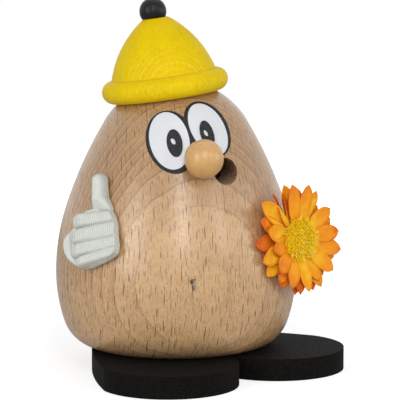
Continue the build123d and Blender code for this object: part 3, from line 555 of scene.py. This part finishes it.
def hand_height(u, v):
    """Height of the hand over its flat back: a palm with a ridge round its heel, four fingers that
    slope down to their tips, and the thumb."""
    palm = np.clip(inside_edge(u, v, palm_edge), 0, palm_round)
    rounded = np.sqrt(np.clip(palm_round ** 2 - (palm_round - palm) ** 2, 0, None))
    height = palm_foot + rounded * np.clip(0.9 - 0.09 * u, 0.35, 1.15)
    from_heel = np.hypot(u - heel_u, v - heel_v)
    ridge = 0.35 * np.exp(-((from_heel - heel_ridge) / 0.3) ** 2)
    step = 0.6 / (1 + np.exp((from_heel - heel_step) * 9))
    groove = 0.3 * np.exp(-((from_heel - heel_groove) / 0.2) ** 2)
    height = height + ((palm > 0.3) & (u < 3)) * (ridge + step - groove)
    for finger in fingers:
        deep, off = bar(u, v, *finger)
        summit = finger[0][0] + crest_along
        fall = np.where(u > summit, fall_to_tip * (u - summit), fall_to_root * (summit - u))
        crest = finger_crest - fall
        foot = np.minimum(finger_foot, crest - 1.5)
        rounded = foot + (crest - foot) * np.clip(1 - off ** 3.2, 0, 1) ** 0.5
        height = np.where(deep > 0, np.maximum(height, rounded), height)
    rising = np.clip((v - thumb_start) / 4, 0, 1) ** 0.5
    for shape, crest, squareness in ((thumb_root, 2.6, 2.8), (thumb, 2.7, 3.2)):
        deep, off = bar(u, v, *shape)
        rounded = thumb_foot + crest * rising * np.sqrt(1 - off ** squareness)
        height = np.where(deep > 0, np.maximum(height, rounded), height)
    return height


sheet_width, sheet_height, sheet_u, sheet_v = 30.0, 35.0, -1.0, 0.6
rim_reach, slope_step, sharp_angle = 0.24, 0.05, radians(42)
printed = bmesh.new()
sheet = bmesh.ops.create_grid(printed, x_segments=176, y_segments=206, size=0.5)["verts"]
u = np.array([vert.co.x for vert in sheet]) * sheet_width + sheet_u
v = np.array([vert.co.y for vert in sheet]) * sheet_height + sheet_v
deep = hand_depth(u, v)
slope_u, slope_v = hand_depth(u + slope_step, v) - deep, hand_depth(u, v + slope_step) - deep
steep = np.maximum(np.hypot(slope_u, slope_v), 1e-6)
rim = (deep < 0) & (deep > -rim_reach)
u, v = np.where(rim, u - deep * slope_u / steep, u), np.where(rim, v - deep * slope_v / steep, v)
for vert, place_u, place_v, place_n in zip(sheet, u, v, hand_height(u, v)):
    vert.co = (place_u, place_v, place_n)
outside = [vert for vert, far in zip(sheet, deep <= -rim_reach) if far]
bmesh.ops.delete(printed, geom=outside, context="VERTS")
open_edges = [edge for edge in printed.edges if edge.is_boundary]
for vert in bmesh.ops.extrude_edge_only(printed, edges=open_edges)["geom"]:
    if isinstance(vert, bmesh.types.BMVert):
        vert.co.z = 0
bmesh.ops.holes_fill(printed, edges=[edge for edge in printed.edges if edge.is_boundary], sides=0)
bmesh.ops.recalc_face_normals(printed, faces=printed.faces)
# Strings and blobs of plastic left where the nozzle lifted off: two loops by the thumb, a bead under the
# heel, and specks along four stretches of the edge
blob_chance = random.Random(3)
loop_turns = (-1.9, -1.2, -0.5, 0.2, 0.9, 1.6, 2.3)
blobs = [(5.9 + 0.5 * cos(turn), loop_v + 0.5 * sin(turn), 1.6, 0.14)
         for loop_v in (10.4, 8.5) for turn in loop_turns]
blobs += [(-0.9, -15.9, 0.5 + 0.3 * step, 0.45 - 0.05 * step) for step in range(3)]
for start, end, count in (
    ((4.6, 16.2), (5.6, 6.5), 16), ((7.3, 4.2), (9.9, -0.9), 10),
    ((10.2, -2.0), (11.0, -10.0), 16), ((-0.4, 16.4), (-0.6, 9.0), 8),
):
    for _ in range(count):
        share = blob_chance.random()
        blob_u = start[0] + share * (end[0] - start[0]) + blob_chance.uniform(-0.1, 0.15)
        blob_v = start[1] + share * (end[1] - start[1])
        blobs.append((blob_u, blob_v, blob_chance.uniform(0.5, 2.2), blob_chance.uniform(0.12, 0.24)))
for blob_u, blob_v, blob_n, size in blobs:
    ball = bmesh.ops.create_icosphere(printed, subdivisions=1, radius=size)["verts"]
    bmesh.ops.translate(printed, verts=ball, vec=(blob_u, blob_v, blob_n))
bmesh.ops.transform(printed, matrix=hand_turn, verts=printed.verts)
hand_mesh = bpy.data.meshes.new("printed_hand")
printed.to_mesh(hand_mesh)
printed.free()
for face in hand_mesh.polygons:
    face.use_smooth = True
hand_mesh.set_sharp_from_angle(angle=sharp_angle)
hand = bpy.data.objects.new("printed_hand", hand_mesh)
bpy.context.scene.collection.objects.link(hand)
layer_height, stroke_width = 0.15, 0.45
plastic, tree, shader, at = finish("printed_plastic", (0.63, 0.645, 0.60), 0.5, Specular_IOR_Level=0.4)


def measured_along(place_or_normal, direction):
    """How far a place or a normal reaches in one direction."""
    made = place(tree, "ShaderNodeVectorMath", {0: place_or_normal, 1: tuple(direction)},
                 operation="DOT_PRODUCT")
    return made.outputs["Value"]


face_normal = place(tree, "ShaderNodeNewGeometry").outputs["True Normal"]
flatness = reckon(tree, "ABSOLUTE", measured_along(face_normal, hand_out))
# The steep walls of the print, where painted shade goes
steep_wall_shade = between(tree, flatness, 0.97, 0.6)
on_top = between(tree, flatness, 0.9, 0.995)
stepped = between(tree, flatness, 0.997, 0.988)
layers = reckon(tree, "SINE", times(tree, measured_along(at, hand_out), 2 * pi / layer_height))
strokes = reckon(tree, "SINE", times(tree, measured_along(at, hand_across), 2 * pi / stroke_width))
grime = between(tree, noise(tree, at, 0.5, 4.0), 0.35, 0.7)
ground = tint(tree, grime, (0.75, 0.765, 0.715), (0.69, 0.705, 0.65))
# Painted shade in the grooves between the layers and between the top strokes; the bump below raises the same
# lines
layer_groove_shade = times(tree, stepped, between(tree, layers, -0.1, -0.9, 0.0, 0.75))
layer_shaded = tint(tree, layer_groove_shade, ground, (0.40, 0.415, 0.365))
stroke_groove_shade = times(tree, on_top, between(tree, strokes, -0.2, -1.0, 0.0, 0.4))
groove_shaded = tint(tree, stroke_groove_shade, layer_shaded, (0.45, 0.465, 0.415))
# Painted shade: the steep walls are coloured a little darker than the tops
tree.links.new(tint(tree, times(tree, steep_wall_shade, 0.2), groove_shaded, (0.42, 0.435, 0.39)), shader.inputs["Base Color"])
emboss(tree, shader, plus(tree, times(tree, layers, stepped), times(tree, strokes, on_top)), 0.5, 0.00004)
hand_mesh.materials.append(plastic)
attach(hand, "egg")
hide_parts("hand")

# Hat: brim and crown turned in one from close-grained wood, glued and dowelled to the top of the egg.
# The yellow stain lets pores through, and pale streaks of the grain low on the crown.
streaks_end, streaks_start = 124.0, 110.0
hat_wood, tree, shader, at, marked, out = wood(
    "yellow_stain", (0.830, 0.590, 0.0006), (0.610, 0.400, 0.0005), (0.230, 0.120, 0.002), 0.5,
    {"Pith": (0, 110, 0), "First Ring": 0, "Ring Width": 1.8, "Widening": 0, "Ray Gap": 2.6, "Ray Step": 5.5,
     "Ray Width": 0.12, "Ray Length": 1.1},
    bump=0.14, lines=0.0, flecks=0.34, grained=0.1, Specular_IOR_Level=0.1)
z = place(tree, "ShaderNodeSeparateXYZ", {0: at}).outputs[2]
streaks = times(tree, out["Ring Line"], between(tree, out["Fibres"], 0.42, 0.58))
streaks = times(tree, streaks, between(tree, z, streaks_end, streaks_start, 0.05, 0.7))
tree.links.new(tint(tree, streaks, marked, (0.93, 0.72, 0.06)), shader.inputs["Base Color"])
dress(hat_wood, "hat")

# Bead: a small wooden ball dipped in black paint, which dries with a faint orange peel. It sits on a
# pin in the tip of the hat.
black_paint, tree, shader, at = finish("black_paint", (0.006, 0.006, 0.006), 0.36, Specular_IOR_Level=0.22)
dip = noise(tree, at, 0.9, 4.0)
tree.links.new(between(tree, dip, 0.3, 0.7, 0.3, 0.46), shader.inputs["Roughness"])
tree.links.new(tint(tree, dip, (0.003, 0.003, 0.003), (0.008, 0.0078, 0.0075)), shader.inputs["Base Color"])
emboss(tree, shader, dip, 0.12, 0.0003)
dress(black_paint, "bobble")

# Flower petals: stamped from stiffened orange cloth in three layers, each petal cupped along its middle
# and curled at the tip, no two alike. The layers are pressed on the stem behind the flower's middle.
flower_middle = Vector((0.03657, -0.03066, 0.04999))
flower_bearing, flower_tilt = radians(28), radians(5)
facing = Vector((sin(flower_bearing) * cos(flower_tilt), -cos(flower_bearing) * cos(flower_tilt),
                 sin(flower_tilt)))
flower_right = Vector((cos(flower_bearing), sin(flower_bearing), 0))
flower_up = facing.cross(flower_right)
flower_turn = Matrix((flower_right, flower_up, facing)).transposed().to_4x4()
flower_turn.translation = flower_middle
hub_radius = 5.2
petal_root = hub_radius * 0.9
cloth_thickness = 0.00022
chance = random.Random(7)


def petal(cloth, angle, reach, width, lift, level, dye, curl=0.0, cup=0.16, roll=0.0):
    """One petal from the hub outwards: widest past its middle, pointed, creased along its rib, with its
    sides cupped and its tip curled. Angles are in degrees and lengths in millimetres."""
    place_uv, dye_uv = cloth.loops.layers.uv["petal"], cloth.loops.layers.uv["dye"]
    grid = bmesh.ops.create_grid(cloth, x_segments=6, y_segments=14, size=0.5)["verts"]
    length = reach - petal_root
    widest, tip_share = 0.58, 0.42
    for vert in grid:
        side, share = vert.co.x * 2, min(max(vert.co.y + 0.5, 0), 1)
        grown = 0.42 + 0.58 * sin(pi / 2 * min(share / widest, 1))
        pointed = max(0, cos(pi / 2 * max(0, (share - widest) / tip_share) ** 1.25)) ** 0.72
        half = width / 2 * grown * pointed
        along, across = share * length, side * half
        crease, ripple = 0.25 * (1 - abs(side)) ** 3, 0.14 * sin(9 * share + angle) * side
        height = along * sin(radians(lift)) + curl * length * share ** 2.4
        height = height + cup * half * side * side - crease + ripple
        turned = radians(roll) * share ** 0.8
        vert.co = (petal_root + along * cos(radians(lift)), across * cos(turned),
                   height + across * sin(turned) + level)
        for loop in vert.link_loops:
            loop[place_uv].uv = (side * 0.5 + 0.5, share)
            loop[dye_uv].uv = (dye, chance.random())
    bmesh.ops.rotate(cloth, verts=grid, cent=(0, 0, 0), matrix=Matrix.Rotation(radians(angle), 3, "Z"))


def petal_layer(name, node, level, petals):
    """One stamped layer of cloth: its petals and the hub that joins them."""
    cloth = bmesh.new()
    cloth.loops.layers.uv.new("petal")
    cloth.loops.layers.uv.new("dye")
    for settings in petals:
        petal(cloth, *settings[:4], level, *settings[4:])
    hub = bmesh.ops.create_circle(cloth, cap_ends=True, segments=32, radius=hub_radius)
    bmesh.ops.translate(cloth, verts=hub["verts"], vec=(0, 0, level))
    bmesh.ops.remove_doubles(cloth, verts=cloth.verts, dist=0.002)
    bmesh.ops.transform(cloth, matrix=flower_turn @ Matrix.Scale(0.001, 4), verts=cloth.verts)
    bmesh.ops.recalc_face_normals(cloth, faces=cloth.faces)
    mesh = bpy.data.meshes.new(name)
    cloth.to_mesh(mesh)
    cloth.free()
    for face in mesh.polygons:
        face.use_smooth = True
    mesh.materials.append(petal_cloth)
    layer = bpy.data.objects.new(name, mesh)
    bpy.context.scene.collection.objects.link(layer)
    thick = layer.modifiers.new("cloth_thickness", "SOLIDIFY")
    thick.thickness = cloth_thickness
    thick.offset = 0
    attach(layer, "egg")
    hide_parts(node)


petal_cloth, tree, shader, at = finish("petal_cloth", (0.86, 0.30, 0.02), 0.75, Specular_IOR_Level=0.25)
petal_map = place(tree, "ShaderNodeUVMap", uv_map="petal").outputs[0]
dye_map = place(tree, "ShaderNodeUVMap", uv_map="dye").outputs[0]
over_petal, up_petal, _ = place(tree, "ShaderNodeSeparateXYZ", {0: petal_map}).outputs
dye_share = place(tree, "ShaderNodeSeparateXYZ", {0: dye_map}).outputs[0]
veins_place = place(tree, "ShaderNodeCombineXYZ", {
    0: times(tree, over_petal, 13.0), 1: times(tree, up_petal, 1.3), 2: times(tree, dye_share, 20.0)})
veins = noise(tree, veins_place.outputs[0], 1.0, 3.0)
blotch = between(tree, noise(tree, at, 0.35, 3.0), 0.35, 0.65, -0.12, 0.12)
to_sides = between(tree, reckon(tree, "ABSOLUTE", minus(tree, over_petal, 0.5)), 0.25, 0.5, 0.0, 0.14)
to_tip = between(tree, up_petal, 0.3, 1.0, -0.12, 0.28)
redness = plus(tree, times(tree, dye_share, 0.85), to_tip)
redness = plus(tree, redness, plus(tree, to_sides, blotch))
golden = tint(tree, between(tree, redness, 0.0, 0.5), (0.96, 0.53, 0.012), (0.92, 0.31, 0.010))
dyed = tint(tree, between(tree, redness, 0.5, 1.1), golden, (0.72, 0.10, 0.010))
veined = tint(tree, between(tree, veins, 0.42, 0.75, 0.0, 0.3), dyed, (0.95, 0.46, 0.03))
tree.links.new(veined, shader.inputs["Base Color"])
emboss(tree, shader, veins, 0.5, 0.0004)
# Angle, reach, width, lift and dye, from yellow 0 to red 1, then curl, cup and roll where a petal has its own
petal_layer("outer_petals", "petals_outer", 0.2, (
    (336, 20.6, 6.0, 4, 0.05), (311, 19.0, 6.0, 5, 0.5), (289, 20.4, 5.6, 5, 0.9), (262, 20.2, 5.8, 4, 0.8),
    (240, 19.6, 6.2, 5, 0.55), (215, 20.6, 6.2, 4, 0.0), (181, 21.4, 6.4, 4, 0.85), (143, 20.0, 5.8, 5, 0.95),
    (125, 21.0, 5.0, 6, 1.0, 0.02, 0.1, 70), (105, 20.7, 6.0, 4, 0.08), (70, 19.0, 5.6, 4, 0.6),
    (44, 16.2, 5.8, 5, 0.2), (14, 18.6, 6.0, 4, 0.5), (355, 18.0, 6.0, 4, 0.6)))
petal_layer("middle_petals", "petals_middle", 0.8, (
    (60, 19.4, 4.6, 8, 0.08, 0.02), (20, 18.0, 6.0, 7, 0.5), (336, 19.2, 6.0, 7, 0.1),
    (298, 20.8, 6.0, 7, 0.2), (266, 20.2, 5.8, 7, 0.85), (232, 19.0, 6.0, 7, 0.6),
    (199, 20.8, 6.4, 7, 0.12), (157, 21.4, 6.4, 7, 0.6),
    (132, 19.6, 4.4, 9, 1.0, 0.02, 0.1, 60), (115, 18.6, 4.6, 8, 0.75, 0.02, 0.1, 40),
    (90, 18.6, 5.8, 7, 0.5), (358, 17.0, 6.0, 7, 0.6)))
petal_layer("inner_petals", "petals_inner", 1.4, (
    (33, 18.6, 6.2, 10, 0.35), (4, 19.4, 6.3, 11, 0.62), (344, 20.6, 6.4, 10, 0.45),
    (319, 19.8, 6.3, 11, 0.38), (297, 18.0, 5.2, 9, 0.3), (274, 19.6, 5.6, 12, 0.18),
    (248, 19.0, 6.2, 11, 0.52),
    (221, 17.2, 6.4, 13, 0.68, -0.03), (190, 15.4, 6.4, 15, 0.6, -0.04), (166, 18.6, 6.5, 13, 0.25),
    (143, 24.6, 6.2, 6, 0.1, 0.02, 0.3, -20), (102, 20.6, 6.3, 11, 0.5), (77, 20.0, 6.2, 11, 0.45)))

# Flower middle: a domed cushion of short yellow threads that fan out from its middle, darker towards
# their roots and olive in patches. It is glued on the hub of the petals.
cushion_radius, cushion_height, cushion_foot = 0.0079, 0.0036, 0.0022
thread_count, thread_foot, thread_tip = 520, 0.00018, 0.00008
golden_angle = 2.39996
cushion_mesh = bpy.data.meshes.new("thread_cushion")
cushion = bmesh.new()
thread_uv = cushion.loops.layers.uv.new("thread")
pad = bmesh.ops.create_uvsphere(cushion, u_segments=36, v_segments=18, radius=cushion_radius * 0.92)
for vert in pad["verts"]:
    domed = vert.co.z if vert.co.z > 0 else vert.co.z * 0.18
    vert.co.z = cushion_foot + domed * cushion_height / cushion_radius * 0.75
for index in range(thread_count):
    ring, angle = sqrt((index + 0.5) / thread_count), index * golden_angle
    foot = Vector((cos(angle) * ring * cushion_radius * 0.93, sin(angle) * ring * cushion_radius * 0.93, 0))
    foot.z = cushion_foot + cushion_height * 0.66 * sqrt(max(0, 1 - ring ** 2.4))
    spread = ring * 0.9 + 0.1
    lean = Vector((cos(angle + 0.5) * spread, sin(angle + 0.5) * spread, 1.05 - ring * 0.6))
    lean += Vector((chance.uniform(-0.8, 0.8), chance.uniform(-0.8, 0.8), chance.uniform(-0.4, 0.2)))
    length = chance.uniform(0.0014, 0.0028)
    tone = chance.random()
    thread = bmesh.ops.create_cone(cushion, cap_ends=True, segments=5, radius1=thread_foot,
                                   radius2=thread_tip, depth=length)["verts"]
    for vert in thread:
        for loop in vert.link_loops:
            loop[thread_uv].uv = (tone, 1.0 if vert.co.z > 0 else 0.0)
    turn = lean.normalized().to_track_quat("Z", "Y").to_matrix().to_4x4()
    turn.translation = foot + lean.normalized() * length * 0.4
    bmesh.ops.transform(cushion, matrix=turn, verts=thread)
bmesh.ops.transform(cushion, matrix=flower_turn, verts=cushion.verts)
cushion.to_mesh(cushion_mesh)
cushion.free()
middle = bpy.data.objects.new("thread_cushion", cushion_mesh)
bpy.context.scene.collection.objects.link(middle)
thread_dye, tree, shader, at = finish("thread_yellow", (0.80, 0.58, 0.02), 0.7, Specular_IOR_Level=0.1)
thread_map = place(tree, "ShaderNodeUVMap", uv_map="thread").outputs[0]
thread_tone, up_thread, _ = place(tree, "ShaderNodeSeparateXYZ", {0: thread_map}).outputs
strand = tint(tree, between(tree, thread_tone, 0.6, 0.95), (1.0, 0.70, 0.004), (1.0, 0.95, 0.22))
olive_patches = between(tree, noise(tree, at, 0.5, 3.0), 0.5, 0.8, 0.0, 0.4)
patched = tint(tree, olive_patches, strand, (0.70, 0.58, 0.02))
# Darker towards the roots of the threads
rooted = tint(tree, between(tree, up_thread, 0.0, 0.8), (0.84, 0.56, 0.004), patched)
tree.links.new(rooted, shader.inputs["Base Color"])
cushion_mesh.materials.append(thread_dye)
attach(middle, "egg")
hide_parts("flower_center")

# Stem and calyx: moulded green plastic over wire. The calyx holds the petals from behind, and the stem
# is pushed into a hole in the egg.
stem_plastic, tree, shader, at = finish("stem_green", (0.07, 0.17, 0.04), 0.55)
mould_green = tint(tree, noise(tree, at, 1.0, 3.0), (0.055, 0.14, 0.03), (0.09, 0.21, 0.05))
tree.links.new(mould_green, shader.inputs["Base Color"])
dress(stem_plastic, "flower_calyx", "flower_stem")
